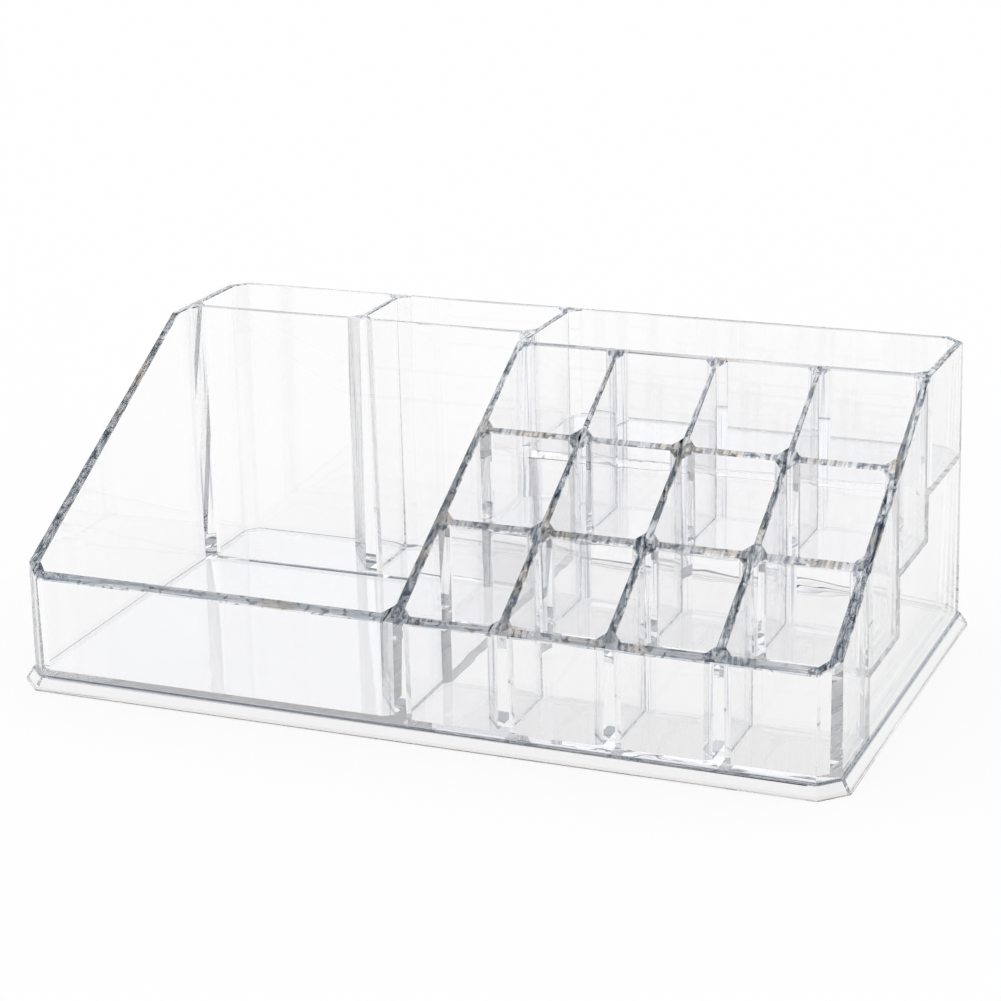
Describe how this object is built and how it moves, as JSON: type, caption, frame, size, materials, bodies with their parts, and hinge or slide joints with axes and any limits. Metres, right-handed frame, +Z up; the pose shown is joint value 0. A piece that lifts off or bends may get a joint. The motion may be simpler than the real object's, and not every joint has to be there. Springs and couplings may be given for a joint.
{
  "type": "vanity organizer",
  "caption": "Clear countertop cosmetics organizer with an open tray, tall brush pots, stepped lipstick cells under a sloping rim and a raised rear tray, on a flaring base skirt.",
  "frame": {"origin": "middle of the footprint, on the surface the organizer stands on", "axes": "+X to the right along the length, seen from the front; +Y to the back; +Z up"},
  "size_m": [0.2216, 0.1302, 0.079],
  "materials": {
    "clear_plastic": "polished clear"
  },
  "bodies": {
    "root": {"back_wall": "clear_plastic", "base_skirt": "clear_plastic", "brush_pot_corner_strips": "clear_plastic", "brush_pot_divider": "clear_plastic", "brush_pot_front_wall": "clear_plastic", "cell_corner_strips_row_1": "clear_plastic", "cell_corner_strips_row_2": "clear_plastic", "cell_corner_strips_row_3": "clear_plastic", "corner_post_front_left": "clear_plastic", "corner_post_front_right": "clear_plastic", "corner_post_rear_left": "clear_plastic", "corner_post_rear_right": "clear_plastic", "front_wall": "clear_plastic", "left_side_wall": "clear_plastic", "lipstick_column_divider_1": "clear_plastic", "lipstick_column_divider_2": "clear_plastic", "lipstick_column_divider_3": "clear_plastic", "lipstick_floor_row_1": "clear_plastic", "lipstick_floor_row_2": "clear_plastic", "lipstick_floor_row_3": "clear_plastic", "lipstick_row_wall_1": "clear_plastic", "lipstick_row_wall_2": "clear_plastic", "middle_divider": "clear_plastic", "open_tray_corner_strips": "clear_plastic", "rear_tray_corner_strips": "clear_plastic", "rear_tray_floor": "clear_plastic", "rear_tray_front_wall": "clear_plastic", "right_side_wall": "clear_plastic", "tray_floor": "clear_plastic"}
  },
  "joints": []
}
